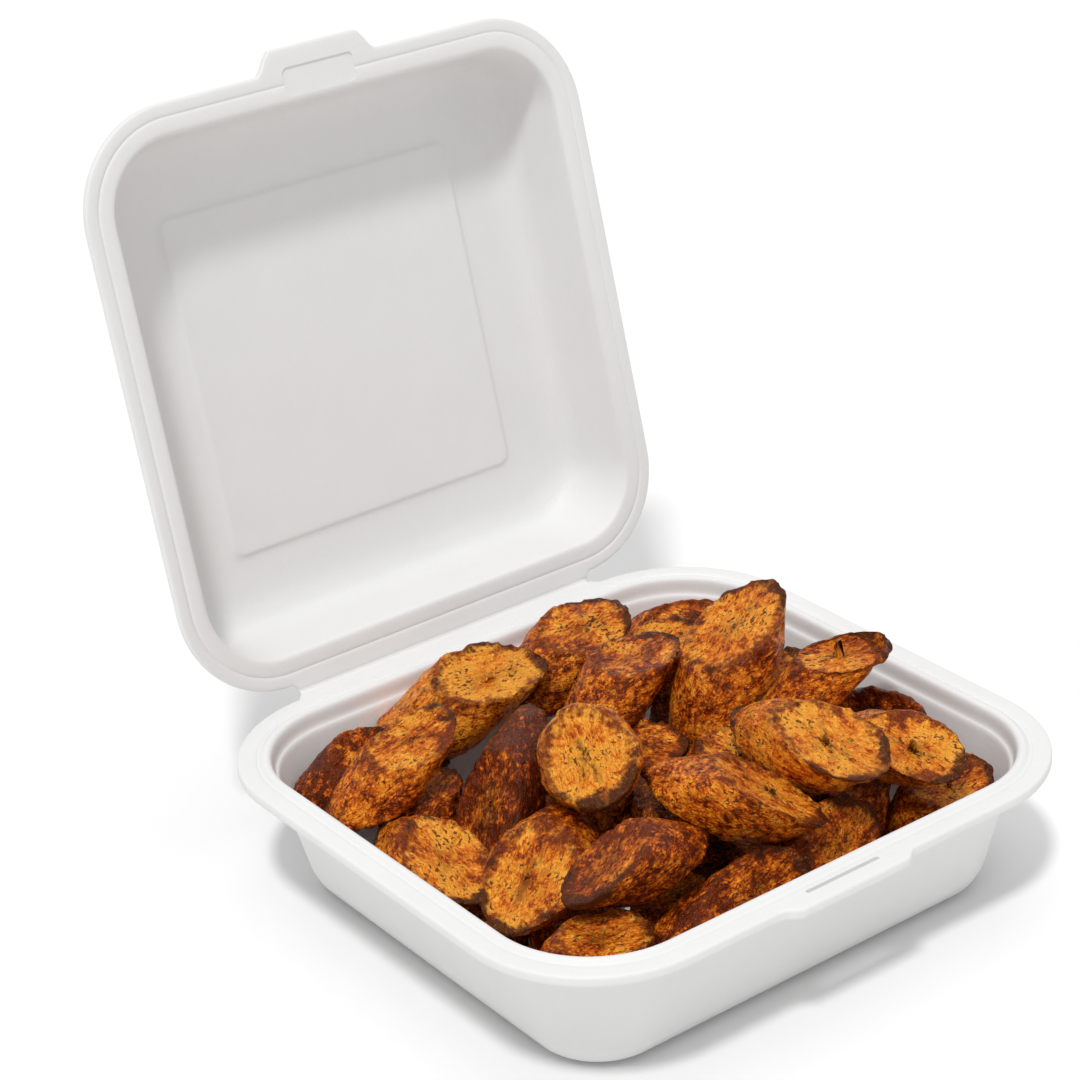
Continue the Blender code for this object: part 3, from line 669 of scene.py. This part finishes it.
# ------------------------------------------------------------------ the set
def build_stage():
    g = Graph("pale_floor")
    place = g.add("ShaderNodeTexCoord").outputs["Object"]
    shade = g.noise(place, 3.0, 2.0, 0.5)
    g.put(g.shader.inputs["Base Color"], g.ramp(shade, ((0.2, (0.90, 0.90, 0.90)), (0.8, (0.92, 0.92, 0.92)))))
    g.shader.inputs["Roughness"].default_value = 0.9
    g.shader.inputs["Specular IOR Level"].default_value = 0.1
    size = 4000.0
    floor = new_mesh_object("floor", [(-size, -size, -0.2), (size, -size, -0.2), (size, size, -0.2), (-size, size, -0.2)],
                            [(0, 1, 2, 3)], g.material)


def add_sun(name, towards, strength, angle):
    data = bpy.data.lights.new(name, "SUN")
    data.energy, data.angle = strength, radians(angle)
    light = bpy.data.objects.new(name, data)
    light.rotation_euler = (-Vector(towards)).to_track_quat("-Z", "Y").to_euler()
    light.location = Vector(towards)
    bpy.context.scene.collection.objects.link(light)


def build_camera():
    azimuth, height, roll = radians(-36.1), radians(25.9), radians(-3.1)
    distance, target = 0.9105, Vector((0.0022, 0.0482, 0.0960))
    back = Vector((sin(azimuth) * cos(height), -cos(azimuth) * cos(height), sin(height)))
    right = Vector((0, 0, 1)).cross(back).normalized()
    up = back.cross(right)
    across = cos(roll) * right + sin(roll) * up
    upwards = -sin(roll) * right + cos(roll) * up
    place = Matrix((across, upwards, back)).transposed().to_4x4()
    place.translation = target + back * distance
    data = bpy.data.cameras.new("camera")
    data.lens, data.sensor_width = 100.0, 36.0
    data.clip_start, data.clip_end = 0.05, 50.0
    camera = bpy.data.objects.new("camera", data)
    camera.matrix_world = place
    bpy.context.scene.collection.objects.link(camera)
    bpy.context.scene.camera = camera


# ------------------------------------------------------------------ build it all
white = fibre_white("box_fibre", 0.00010, BOX_SHADE)
lid_white = fibre_white("lid_fibre", 0.00010, BOX_SHADE)
tray = build_tray(white)
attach(tray, "box")
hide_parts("tray")
lid = build_lid(lid_white)
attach(lid, "lid")
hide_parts("lid")
web, web_start, web_end = build_web(white)
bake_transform(web)

fried = plantain_material()
rows = FLOOR_LAYER + tuple(fried_row(row) for row in EDGE_LAYER + HEAP_LAYER)
for index, row in enumerate(rows):
    chunk(row, index, index >= len(FLOOR_LAYER), index in SUNKEN, fried, f"plantain_{index + 1:02d}")

build_stage()
build_camera()
for number, sun in enumerate(SUNS):
    add_sun(f"sun_{number + 1}", sun[:3], sun[3], sun[4])
world = bpy.data.worlds.new("studio")
bpy.context.scene.world = world
world.use_nodes = True
world.node_tree.nodes["Background"].inputs["Color"].default_value = (1.0, 1.0, 1.0, 1.0)
world.node_tree.nodes["Background"].inputs["Strength"].default_value = SKY
bpy.context.scene.view_settings.view_transform = "Standard"
bpy.context.scene.view_settings.look = "None"
